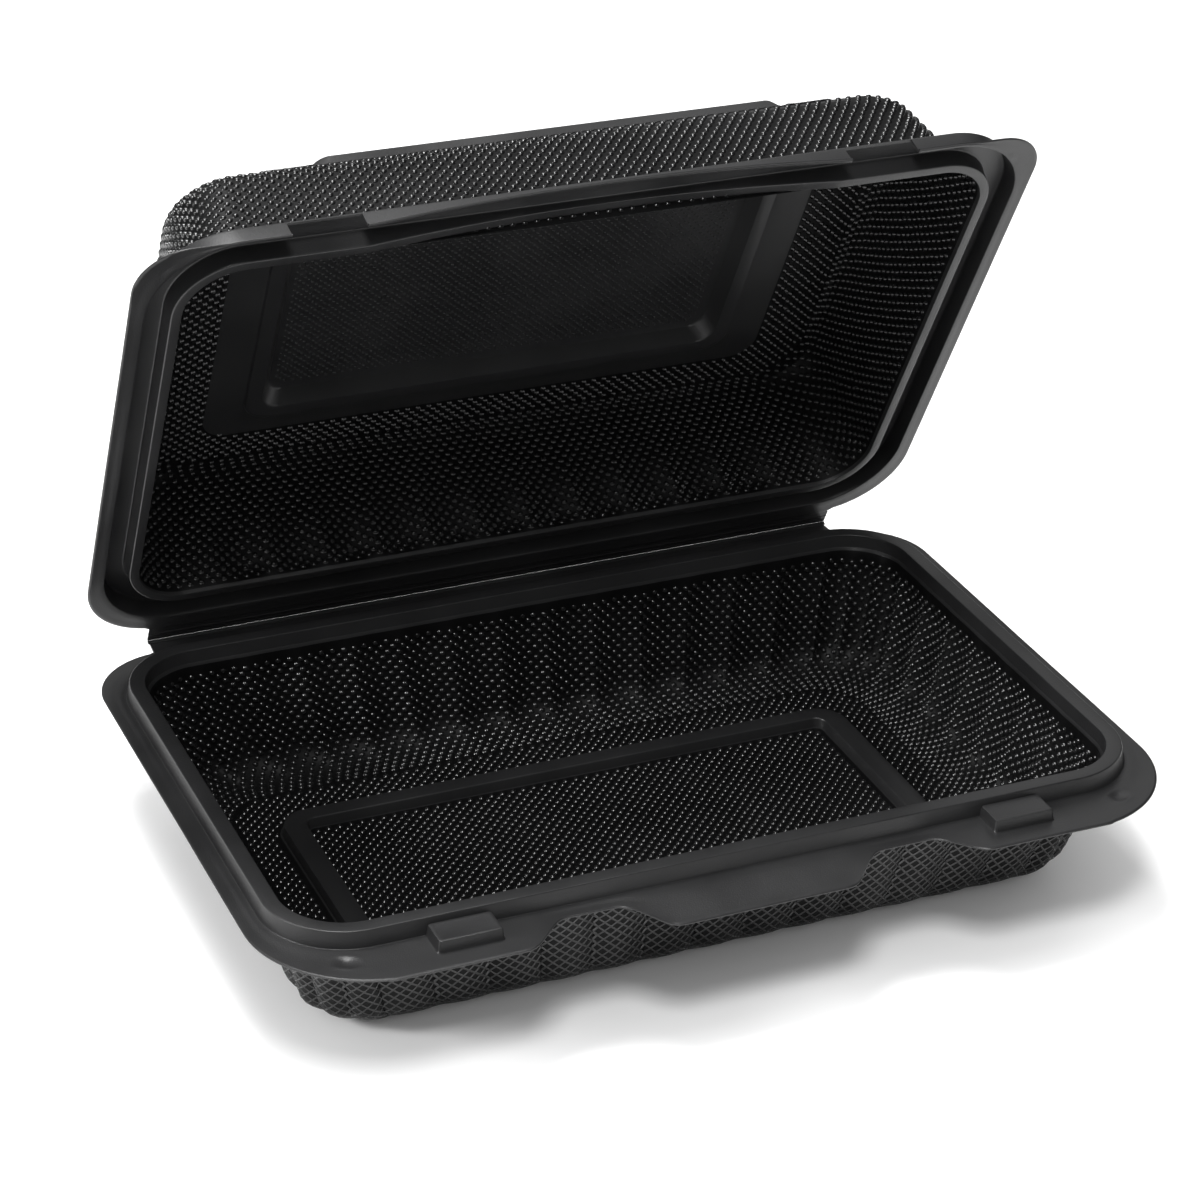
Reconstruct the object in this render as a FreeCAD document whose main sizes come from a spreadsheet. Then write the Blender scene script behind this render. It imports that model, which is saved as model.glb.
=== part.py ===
import FreeCAD, Part
import Sketcher
import math
import os

# One moulded hinged food pack of thin black sheet, length unit mm, Z up.
# X runs along the width, Y from the latches to the hinge, the origin is
# the centre of the underside of the tray.

SIZES = [
    ("sheet", 0.6), ("flangetop", 33.2), ("flangehalfx", 116.8), ("flangerear", 77.2),
    ("rearradius", 20.0), ("rimradius", 20.0), ("rimband", 4.0), ("rimdraft", 0.8), ("rimlean", 0.4),
    ("loberadius", 30.0), ("tabhalf", 21.5), ("tabneck", 34.0), ("neckend", 46.5),
    ("lobeinner", 59.5), ("tabdrop", 1.8), ("tabroot", 0.4),
    ("walllean", 15.4), ("wallradius", 14.0), ("wallspread", 0.2), ("wallend", 0.6),
    ("footradius", 11.0), ("flutedepth", 1.7), ("flutefade", 4.0), ("longflutes", 13),
    ("shortflutes", 7), ("cornerflutes", 3),
    ("ringbandx", 5.8), ("ringbandy", 5.0), ("ringheight", 2.8), ("ringradius", 8.0), ("ringdraft", 0.5),
    ("latchlength", 16.0), ("latchtaper", 6.0),
    ("dimpleball", 6.0), ("dimpledepth", 0.35),
    ("hingegap", 0.2), ("filmthick", 0.3), ("filmlap", 0.5), ("filmrise", 0.15),
    ("beadradius", 0.3), ("beadsink", 0.05), ("beadfirst", 1.6), ("beadsecond", 3.2),
    ("openangle", 62.0),
    ("lidgap", 0.3), ("lidrearradius", 22.0), ("lidfrontradius", 13.0),
    ("channelgap", 0.5), ("channelroom", 1.0), ("lipgap", 1.1), ("lipcorner", 1.6), ("lipband", 2.7),
    ("lidlean", 10.0), ("lidfoldradius", 3.0), ("lidwallradius", 13.0), ("lidspread", 0.2),
    ("lidflutes", 11), ("lidflutedepth", 1.8),
    ("frameband", 4.0), ("framedrop", 1.0), ("frameradius", 7.0), ("framefront", 1.0),
    ("pocketheight", 2.8), ("pocketlean", 2.6), ("pocketfrontlean", 0.6), ("pocketradius", 5.0),
    ("windowlength", 19.0), ("windowdepth", 6.0), ("wallcut", 1.2), ("archhalf", 60.0), ("archrise", 3.0),
]

# Sizes that follow from one above them: name, the size it starts from, and
# the step from there.
FOLLOWING = [
    ("rimhalfx", "flangehalfx", -5.8), ("rimhalfy", "flangerear", -5.8), ("rimtop", "flangetop", 4.2),
    ("neckfront", "rimhalfy", 5.4), ("lobefront", "neckfront", 9.4),
    ("wallcornerx", "rimhalfx", -13.2), ("wallcornery", "rimhalfy", -13.2),
    ("flutetop", "flangetop", -0.2),
    ("ringhalfx", "wallcornerx", -18.5), ("ringhalfy", "wallcornery", -21.9),
    ("latchcentre", "rimhalfx", -40.2), ("latchfront", "rimhalfy", 8.6), ("latchback", "rimhalfy", 0.2),
    ("latchtop", "flangetop", 2.8),
    ("basedimplex", "flangehalfx", -17.6), ("basedimpley", "lobefront", -10.3),
    ("hingehalf", "flangehalfx", -18.8), ("hingey", "flangerear", 5.5),
    ("stripfront", "flangerear", 1.1),
    ("lidhalfx", "flangehalfx", -0.6), ("lidrear", "flangerear", 0.1), ("lidfront", "rimhalfy", 2.0),
    ("lidtop", "flangetop", 34.4), ("lidfluteend", "rimhalfx", -32.0),
    ("frameouterx", "rimhalfx", -43.0), ("frameoutery", "rimhalfy", -33.6),
    ("pocketfront", "rimhalfy", -14.6),
    ("windowtop", "rimtop", 0.6), ("liddimplex", "lidhalfx", -9.5), ("liddimpley", "lidfront", -8.0),
]

SPARE = 2.0
FLATS = 3
FOOT_SHARES = (0.1, 0.7, 1.0)
FULL_SHARE = 0.9
FADED_SHARE = 0.05


def all_sizes():
    """The typed sizes and those that follow from them."""
    sizes = dict(SIZES)
    for name, start, step in FOLLOWING:
        sizes[name] = round(sizes[start] + step, 4)
    return sizes


def make_sheet(doc):
    sheet = doc.addObject("Spreadsheet::Sheet", "Sizes")
    for row, (name, value) in enumerate(all_sizes().items(), start=1):
        sheet.set("A%d" % row, name)
        sheet.set("B%d" % row, str(value))
        sheet.setAlias("B%d" % row, name)
    doc.recompute()
    return sheet


doc = FreeCAD.newDocument("clamshell")
sheet = make_sheet(doc)


def size(name):
    return float(sheet.get(name))


V = FreeCAD.Vector
CHORDS = 6


# outlines
def arc(first, middle, last):
    return Part.Arc(first, middle, last).toShape()


def rounded(front, rear, halfx, rfront, rrear, z):
    """Closed outline with its own corner radii at the front and the rear."""
    corners = [(1, -1, front, rfront, -90), (1, 1, rear, rrear, 0),
               (-1, 1, rear, rrear, 90), (-1, -1, front, rfront, 180)]
    ends = []
    for sx, sy, reach, radius, start in corners:
        cx = sx * (halfx - radius)
        cy = sy * (reach - radius)
        turns = [math.radians(start + turn) for turn in (0, 45, 90)]
        ends.append([V(cx + radius * math.cos(a), cy + radius * math.sin(a), z) for a in turns])
    edges = []
    for k, pts in enumerate(ends):
        edges.append(arc(*pts))
        edges.append(Part.makeLine(pts[2], ends[(k + 1) % 4][0]))
    return Part.Wire(edges)


def rect(halfx, halfy, radius, z):
    return rounded(halfy, halfy, halfx, radius, radius, z)


def between(wires):
    return Part.makeLoft(wires, True, True)


def plate(wire, height):
    return Part.Face(wire).extrude(V(0, 0, height))


def bulge_points(start, end, out, count, depth):
    """Points along a wall of even bulges, each of a few flats on a curve."""
    points = []
    for k in range(count * FLATS):
        part = (k % FLATS) / FLATS
        rise = depth * (1 - (2 * part - 1) ** 2)
        points.append(start + (end - start) * (k / (count * FLATS)) + out * rise)
    return points


def bulge_corner(cx, cy, radius, angle, z, count, depth):
    points = []
    for k in range(count * FLATS):
        part = (k % FLATS) / FLATS
        a = math.radians(angle + 90.0 * k / (count * FLATS))
        r = radius + depth * (1 - (2 * part - 1) ** 2)
        points.append(V(cx + r * math.cos(a), cy + r * math.sin(a), z))
    return points


def fluted(halfx, halfy, radius, z, depth):
    """Tray outline with a bulge for each flute, also round the corners."""
    x0 = halfx - radius
    y0 = halfy - radius
    long = int(size("longflutes"))
    short = int(size("shortflutes"))
    turn = int(size("cornerflutes"))
    pts = bulge_points(V(-x0, -halfy, z), V(x0, -halfy, z), V(0, -1, 0), long, depth)
    pts += bulge_corner(x0, -y0, radius, -90, z, turn, depth)
    pts += bulge_points(V(halfx, -y0, z), V(halfx, y0, z), V(1, 0, 0), short, depth)
    pts += bulge_corner(x0, y0, radius, 0, z, turn, depth)
    pts += bulge_points(V(x0, halfy, z), V(-x0, halfy, z), V(0, 1, 0), long, depth)
    pts += bulge_corner(-x0, y0, radius, 90, z, turn, depth)
    pts += bulge_points(V(-halfx, y0, z), V(-halfx, -y0, z), V(-1, 0, 0), short, depth)
    pts += bulge_corner(-x0, -y0, radius, 180, z, turn, depth)
    return pts


def facets(a, b, c, d):
    """One face where four points lie in a plane, otherwise two."""
    normal = (b - a).cross(c - a).normalize()
    corners = [(a, b, c, d)]
    if abs(normal.dot(d - a)) > 1e-6:
        corners = [(a, b, c), (a, c, d)]
    return [Part.Face(Part.makePolygon(list(pts) + [pts[0]])) for pts in corners]


def stacked(rows):
    """Closed body through level rows of points, one above the other."""
    faces = [Part.Face(Part.makePolygon(row + [row[0]])) for row in (rows[0][::-1], rows[-1])]
    for low, high in zip(rows, rows[1:]):
        for k, point in enumerate(low):
            n = (k + 1) % len(low)
            faces += facets(point, low[n], high[n], high[k])
    return Part.Solid(Part.Shell(faces))


# tray
def foot_sections(foot, lean):
    """Offsets and heights round the foot of a leaning wall."""
    back = foot * math.tan(lean) - foot / math.cos(lean)
    last = math.pi / 2 - lean
    rows = []
    for share in (0.0, 0.5, 1.0):
        a = last * share
        rows.append((back + foot * math.sin(a), foot - foot * math.cos(a)))
    return rows


def tub_skin(shift, top):
    """Body inside one skin of the tray wall, shift measured in from the outside."""
    lean = math.radians(size("walllean"))
    start = size("flutetop")
    run = shift / math.cos(lean) - shift * math.tan(lean)
    sections = []
    for (off, z), share in zip(foot_sections(size("footradius") - shift, lean), FOOT_SHARES):
        sections.append((off, z + shift, share))
    for z, share in ((start - size("flutefade"), FULL_SHARE), (start, FADED_SHARE)):
        sections.append(((z - shift) * math.tan(lean), z, share))
    sections.append((sections[-1][0] + 0.1, top, FADED_SHARE))
    rows = []
    for off, z, share in sections:
        reach = off - run
        rows.append(fluted(size("wallcornerx") + reach, size("wallcornery") + reach,
                           size("wallradius") + reach * size("wallspread"), z, size("flutedepth") * share))
    return stacked(rows)


def floor_ring(skin):
    """Raised frame of the floor, skin 0 for the outside and 1 for the hollow below."""
    drop = skin * size("sheet")
    hx = size("ringhalfx") - drop
    hy = size("ringhalfy") - drop
    ix = size("ringhalfx") - size("ringbandx") + drop
    iy = size("ringhalfy") - size("ringbandy") + drop
    d = size("ringdraft")
    r = size("ringradius") - drop
    q = size("ringradius") - size("ringbandy") + drop
    high = size("sheet") + size("ringheight") - drop
    outer = between([rect(hx + d, hy + d, r + d, -drop), rect(hx, hy, r, high)])
    hole = between([rect(ix - d, iy - d, q, -drop - SPARE), rect(ix, iy, q, high + SPARE)])
    return outer.cut(hole)


def rim_shape():
    """Upside down channel of the tray rim with the smooth strip inside it."""
    t = size("sheet")
    hx = size("rimhalfx")
    hy = size("rimhalfy")
    r = size("rimradius")
    d = size("rimdraft")
    b = size("rimband")
    n = size("rimlean")
    top = size("rimtop")
    low = size("flangetop") - t
    skin = between([rect(hx + d, hy + d, r + d, low), rect(hx, hy, r, top)])
    under = between([rect(hx + d - t, hy + d - t, r + d - t, low - SPARE / 2),
                     rect(hx - t, hy - t, r - t, top - t)])
    core = between([rect(hx - b + t - n, hy - b + t - n, r - b + t - n, low - SPARE),
                    rect(hx - b + t, hy - b + t, r - b + t, top)])
    mouth = between([rect(hx - b - n, hy - b - n, r - b - n, low - SPARE / 2),
                     rect(hx - b, hy - b, r - b, top + SPARE / 2)])
    return skin.cut(under.cut(core)).cut(mouth)


def s_curve(first, last):
    """Two equal arcs, both ends running along X."""
    mid = (first + last) * 0.5
    dx = abs(mid.x - first.x)
    dy = abs(mid.y - first.y)
    r = (dx * dx + dy * dy) / (2 * dy)
    a = math.atan2(dy, dx)
    sx = 1 if last.x > first.x else -1
    sy = 1 if last.y > first.y else -1
    one = V(first.x + sx * r * math.sin(a), first.y + sy * r * (1 - math.cos(a)), first.z)
    two = V(last.x - sx * r * math.sin(a), last.y - sy * r * (1 - math.cos(a)), last.z)
    return [arc(first, one, mid), arc(mid, two, last)]


def mirrored(edges):
    copies = [edge.mirror(V(0, 0, 0), V(1, 0, 0)) for edge in edges]
    return Part.Wire(Part.__sortEdges__(edges + copies))


def corner_arc(cx, cy, r, start, end, z):
    turns = [math.radians(a) for a in (start, (start + end) / 2, end)]
    return arc(*[V(cx + r * math.cos(a), cy + r * math.sin(a), z) for a in turns])


def flange_shape():
    t = size("sheet")
    z = size("flangetop") - t
    neck = -size("neckfront")
    front = -size("lobefront")
    hx = size("flangehalfx")
    big = size("loberadius")
    small = size("rearradius")
    hinge = size("hingehalf")
    back = size("hingey") - size("hingegap")
    end = math.degrees(math.acos((hinge - hx + small) / small))
    edges = [Part.makeLine(V(0, neck, z), V(size("neckend"), neck, z))]
    edges += s_curve(V(size("neckend"), neck, z), V(size("lobeinner"), front, z))
    edges.append(Part.makeLine(V(size("lobeinner"), front, z), V(hx - big, front, z)))
    edges.append(corner_arc(hx - big, front + big, big, -90, 0, z))
    edges.append(Part.makeLine(V(hx, front + big, z), V(hx, size("flangerear") - small, z)))
    edges.append(corner_arc(hx - small, size("flangerear") - small, small, 0, end, z))
    corner = edges[-1].Vertexes[-1].Point
    edges.append(Part.makeLine(corner, V(hinge, back, z)))
    edges.append(Part.makeLine(V(hinge, back, z), V(0, back, z)))
    hole = rect(size("rimhalfx") + 0.3, size("rimhalfy") + 0.3, size("rimradius"), z - 1)
    return plate(mirrored(edges), t).cut(plate(hole, t + 2))


def tab_shape():
    """Pull tab, curved down from the flange."""
    t = size("sheet")
    z = size("flangetop")
    neck = -size("neckfront")
    front = -size("lobefront")
    drop = size("tabdrop")
    root = neck + size("tabroot")
    run = root - front
    r = (run * run + drop * drop) / (2 * drop)
    a = math.asin(run / r)
    x = size("tabneck")
    sides = []
    for radius in (r, r - t):
        turns = (0, a / 2, a)
        sides.append([V(-x, root - radius * math.sin(k), z - r + radius * math.cos(k)) for k in turns])
    up = [arc(*sides[0]), Part.makeLine(sides[0][2], sides[1][2]),
          arc(*sides[1]), Part.makeLine(sides[1][0], sides[0][0])]
    bent = Part.Face(Part.Wire(Part.__sortEdges__(up))).extrude(V(2 * x, 0, 0))
    low = z - 10
    edges = [Part.makeLine(V(0, front, low), V(size("tabhalf"), front, low))]
    edges += s_curve(V(size("tabhalf"), front, low), V(x, neck, low))
    edges.append(Part.makeLine(V(x, neck, low), V(x, neck + 1, low)))
    edges.append(Part.makeLine(V(x, neck + 1, low), V(0, neck + 1, low)))
    return bent.common(plate(mirrored(edges), 20))


def shape_object(name, label, shape):
    obj = doc.addObject("Part::Feature", name)
    obj.Label = label
    obj.Shape = shape
    obj.Placement = FreeCAD.Placement(V(0, 0, 0), FreeCAD.Rotation())
    return obj


def primitive(kind, name, label, sizes, base):
    obj = doc.addObject(kind, name)
    obj.Label = label
    for prop, text in sizes.items():
        obj.setExpression(prop, text)
    for axis, text in zip("xyz", base):
        obj.setExpression("Placement.Base." + axis, text)
    return obj


def fused(name, label, parts):
    obj = doc.addObject("Part::MultiFuse", name)
    obj.Label = label
    obj.Shapes = parts
    return obj


def cut(name, label, base, tool):
    obj = doc.addObject("Part::Cut", name)
    obj.Label = label
    obj.Base = base
    obj.Tool = tool
    return obj


def plane(body, role):
    return next(f for f in body.Origin.OriginFeatures if f.Role == role)


def box_sketch(body, name, height, left, right, low, high):
    """Rectangle on the body's level plane, all four sides bound to the sheet."""
    sk = body.newObject("Sketcher::SketchObject", name)
    sk.AttachmentSupport = [(plane(body, "XY_Plane"), "")]
    sk.MapMode = "FlatFace"
    sk.setExpression("AttachmentOffset.Base.z", height)
    pts = [V(-4, -3, 0), V(4, -3, 0), V(4, 3, 0), V(-4, 3, 0)]
    for k in range(4):
        sk.addGeometry(Part.LineSegment(pts[k], pts[(k + 1) % 4]), False)
    for k in range(4):
        sk.addConstraint(Sketcher.Constraint("Coincident", k, 2, (k + 1) % 4, 1))
    for k, kind in enumerate(("Horizontal", "Vertical", "Horizontal", "Vertical")):
        sk.addConstraint(Sketcher.Constraint(kind, k))
    for point, axis, text in ((1, "DistanceX", left), (2, "DistanceX", right)):
        sk.addConstraint(Sketcher.Constraint(axis, -1, 1, 0, point, 1.0 if point == 2 else -1.0))
        sk.setExpression("Constraints[%d]" % (sk.ConstraintCount - 1), text)
    sk.addConstraint(Sketcher.Constraint("DistanceY", -1, 1, 0, 1, -1.0))
    sk.setExpression("Constraints[%d]" % (sk.ConstraintCount - 1), low)
    sk.addConstraint(Sketcher.Constraint("DistanceY", -1, 1, 2, 1, 1.0))
    sk.setExpression("Constraints[%d]" % (sk.ConstraintCount - 1), high)
    return sk


def latch_body():
    """Hollow latch block, padded with slope and hollowed from below, then mirrored."""
    body = doc.addObject("PartDesign::Body", "LatchBlocks")
    body.Label = "latch_blocks"
    left = "Sizes.latchcentre - Sizes.latchlength / 2"
    right = "Sizes.latchcentre + Sizes.latchlength / 2"
    sk = box_sketch(body, "LatchOutline", "Sizes.flangetop - Sizes.sheet", left, right,
                    "-Sizes.latchfront", "-Sizes.latchback")
    pad = body.newObject("PartDesign::Pad", "LatchPad")
    pad.Profile = sk
    pad.setExpression("Length", "Sizes.latchtop - Sizes.flangetop + Sizes.sheet")
    pad.setExpression("TaperAngle", "-Sizes.latchtaper")
    inner = box_sketch(body, "LatchHollow", "Sizes.flangetop - Sizes.sheet", left + " + Sizes.sheet",
                       right + " - Sizes.sheet", "-Sizes.latchfront + Sizes.sheet",
                       "-Sizes.latchback - Sizes.sheet")
    pocket = body.newObject("PartDesign::Pocket", "LatchPocket")
    pocket.Profile = inner
    pocket.Reversed = True
    pocket.setExpression("Length", "Sizes.latchtop - Sizes.flangetop")
    pocket.setExpression("TaperAngle", "-Sizes.latchtaper")
    body.Tip = pocket
    doc.recompute()
    twin = body.newObject("PartDesign::Mirrored", "LatchTwin")
    twin.Originals = [pad, pocket]
    twin.MirrorPlane = (plane(body, "YZ_Plane"), [""])
    body.Tip = twin
    return body


def ball(name, x, y, top):
    """Ball above the sheet whose lower side leaves a shallow round dimple."""
    return primitive("Part::Sphere", name, name.lower(), {"Radius": "Sizes.dimpleball"},
                     (x, y, top + " + Sizes.dimpleball - Sizes.dimpledepth"))


def build_tray():
    t = size("sheet")
    tub = tub_skin(0.0, size("flangetop") + size("wallend")).cut(tub_skin(t, size("flangetop") + SPARE))
    tub = tub.fuse(floor_ring(0)).cut(floor_ring(1))
    parts = [shape_object("FlutedTub", "fluted_tub", tub),
             shape_object("TrayRim", "tray_rim", rim_shape()),
             shape_object("TrayFlange", "tray_flange", flange_shape()),
             shape_object("PullTab", "pull_tab", tab_shape())]
    latch = latch_body()
    doc.recompute()
    hollow = [primitive("Part::Box", "Below" + side, "hollow_below_" + side.lower(),
                        {"Length": "Sizes.latchlength - 2 * Sizes.sheet",
                         "Width": "Sizes.latchfront - Sizes.latchback - 3 * Sizes.sheet",
                         "Height": "Sizes.sheet + 1"},
                        (text, "-Sizes.latchfront + Sizes.sheet", "Sizes.flangetop - Sizes.sheet - 0.5"))
              for side, text in (("Right", "Sizes.latchcentre - Sizes.latchlength / 2 + Sizes.sheet"),
                                 ("Left", "-Sizes.latchcentre - Sizes.latchlength / 2 + Sizes.sheet"))]
    holes = fused("HollowBelow", "hollow_below", hollow)
    flange = cut("OpenFlange", "open_flange", parts[2], holes)
    bead = primitive("Part::Cylinder", "TrayBead", "tray_bead",
                     {"Radius": "Sizes.beadradius", "Height": "2 * Sizes.hingehalf"},
                     ("-Sizes.hingehalf", "Sizes.hingey - Sizes.hingegap - Sizes.beadradius",
                      "Sizes.flangetop - Sizes.beadsink"))
    bead.Placement = FreeCAD.Placement(bead.Placement.Base, FreeCAD.Rotation(V(0, 1, 0), 90))
    solid = fused("TrayBlank", "tray_blank", [parts[0], parts[1], flange, parts[3], latch, bead])
    balls = [ball("TrayDimpleRight", "Sizes.basedimplex", "-Sizes.basedimpley", "Sizes.flangetop"),
             ball("TrayDimpleLeft", "-Sizes.basedimplex", "-Sizes.basedimpley", "Sizes.flangetop")]
    tools = fused("TrayTools", "tray_tools", balls)
    return cut("BaseTray", "base_tray", solid, tools)


# lid, modelled closed over the tray
def lid_outline(halfx, front, rear, radius, z, depth):
    """Lid tub outline, bulges only on the rear wall."""
    count = int(size("lidflutes"))
    x0 = halfx - radius
    edge = size("lidfluteend")
    pts = bulge_points(V(edge, rear, z), V(-edge, rear, z), V(0, 1, 0), count, depth)
    pts.append(V(-edge, rear, z))
    corners = ((-1, rear - radius, 90), (-1, radius - front, 180), (1, radius - front, 270),
               (1, rear - radius, 0))
    for sx, cy, start in corners:
        for k in range(CHORDS + 1):
            a = math.radians(start + 90.0 * k / CHORDS)
            pts.append(V(sx * x0 + radius * math.cos(a), cy + radius * math.sin(a), z))
    return pts


def lid_base():
    """Level of the lid's underside, with the lid closed."""
    return size("flangetop") + size("lidgap")


def lid_skin(shift, low):
    """Body inside one skin of the lid wall, shift measured in from the outside."""
    t = size("sheet")
    base = lid_base()
    lean = math.radians(size("lidlean"))
    hx = size("rimhalfx") - size("rimband") - size("lipgap") - size("lipband") + t - shift
    hy = size("rimhalfy") - size("rimband") - size("lipgap") - size("lipband") + t - shift
    r = size("lidwallradius") - shift
    top = size("lidtop") - shift
    fold = size("lidfoldradius")
    rows = [(0.0, low, FADED_SHARE), (0.0, base + 1.0, FADED_SHARE)]
    for z, share in ((base + 4.0, FULL_SHARE), (top - 14.0, 0.8), (top - fold * 1.2, 0.15)):
        rows.append(((z - base) * math.tan(lean), z, share))
    rows.append(((top - base) * math.tan(lean) + 0.3 * fold, top - 0.35 * fold, 0.1))
    rows.append(((top - base) * math.tan(lean) + fold, top, FADED_SHARE))
    outlines = []
    for off, z, share in rows:
        outlines.append(lid_outline(hx - off, hy - off, hy - off, r + off * size("lidspread"), z,
                                    size("lidflutedepth") * share))
    return stacked(outlines)


def pocket_shape(shift):
    """Raised centre of the lid top, shift measured in from the outside."""
    lean = size("pocketlean")
    hx = size("frameouterx") - size("frameband")
    rear = size("frameoutery") - size("frameband")
    front = size("pocketfront")
    r = size("pocketradius")
    t = size("sheet")
    top = size("lidtop") + size("pocketheight") - shift
    low = size("lidtop") - t - size("framedrop") - (SPARE / 4 if shift else 0.0)
    grow = t - shift
    front_top = front + grow - size("pocketfrontlean")
    return between([rounded(front + grow, rear + grow, hx + grow, r, r, low),
                    rounded(front_top, rear + grow - lean, hx + grow - lean, r, r, top)])


def frame_shape(shift):
    """Low frame round the centre of the lid top, hollow from above with shift."""
    t = size("sheet")
    hx = size("frameouterx") - shift
    rear = size("frameoutery") - shift
    front = size("pocketfront") + size("framefront") - 2 * shift
    low = size("lidtop") - t - size("framedrop") + shift
    high = size("lidtop") - t / 3 + (SPARE if shift else 0.0)
    r = size("frameradius")
    return between([rounded(front, rear, hx, r, r, low), rounded(front, rear, hx, r, r, high)])


def channel_parts():
    """Channel that takes the rim of the tray, with the smooth lip inside it."""
    t = size("sheet")
    base = lid_base()
    roof = size("rimtop") + size("channelroom")
    gap = size("channelgap")
    hx = size("rimhalfx") + gap
    hy = size("rimhalfy") + gap
    r = size("rimradius") + gap
    d = size("rimdraft")
    wide = d * (roof - base + SPARE / 2) / (roof - base)
    drop = size("rimband") + size("lipgap")
    lx = size("rimhalfx") - drop
    ly = size("rimhalfy") - drop
    lr = size("rimradius") - drop + size("lipcorner")
    skin = between([rect(hx + d + t, hy + d + t, r + d + t, base), rect(hx + t, hy + t, r + t, roof + t)])
    room = between([rect(hx + wide, hy + wide, r + d, base - SPARE / 2), rect(hx, hy, r, roof)])
    lip = between([rect(lx, ly, lr, base - SPARE), rect(lx, ly, lr, roof + SPARE / 2)])
    lines = size("lipband") - t
    outer = between([rect(lx - t, ly - t, lr - t, base + t), rect(lx - t, ly - t, lr - t, roof + SPARE)])
    inner = between([rect(lx - lines, ly - lines, size("lidwallradius"), base),
                     rect(lx - lines, ly - lines, size("lidwallradius"), roof + 2 * SPARE)])
    return skin, room.cut(lip), outer.cut(inner)


def lid_plate():
    t = size("sheet")
    base = lid_base()
    hx = size("lidhalfx")
    rf = size("lidfrontradius")
    rr = size("lidrearradius")
    main = plate(rounded(size("lidfront"), size("lidrear"), hx, rf, rr, base), t)
    half = size("hingehalf")
    root = Part.makeBox(2 * half, size("stripfront") - size("lidrear") + 4, t,
                        V(-half, size("lidrear") - 4, base))
    foot = size("channelgap") + size("rimdraft") + t / 3
    hole = rect(size("rimhalfx") + foot, size("rimhalfy") + foot,
                size("rimradius") + 1, base - 1)
    return main.fuse(root).cut(plate(hole, t + 2))


def front_arch():
    """Wide shallow arch cut in the front wall of the channel."""
    base = lid_base()
    half = size("archhalf")
    rise = size("archrise")
    r = (half * half + rise * rise) / (2 * rise)
    inside = -size("rimhalfy") + size("wallcut")
    tool = Part.makeCylinder(r, size("windowdepth"), V(0, inside, base + rise - r), V(0, -1, 0))
    block = Part.makeBox(2 * half, 8, 20, V(-half, -size("rimhalfy") - 6, base - 10))
    return tool.common(block)


def lip_arch():
    """Smooth lip of the front side, arched like the cut in front of it."""
    t = size("sheet")
    base = lid_base()
    half = size("archhalf")
    rise = size("archrise")
    r = (half * half + rise * rise) / (2 * rise)
    front = -size("rimhalfy") + size("rimband") + size("lipgap")
    y = front + size("lipband")
    slot = Part.makeCylinder(r, size("lipband") + 0.2, V(0, y + 0.1, base + rise - r), V(0, -1, 0))
    block = Part.makeBox(2 * half, size("lipband") + 0.2, 20, V(-half, front - 0.1, base - 10))
    outer = Part.makeCylinder(r + t, size("lipband"), V(0, y, base + rise - r), V(0, -1, 0))
    inner = Part.makeCylinder(r, size("lipband"), V(0, y, base + rise - r), V(0, -1, 0))
    wide = Part.makeBox(2 * half, size("lipband"), 20, V(-half, front, base - 10))
    return slot.common(block), outer.cut(inner).common(wide)


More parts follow.
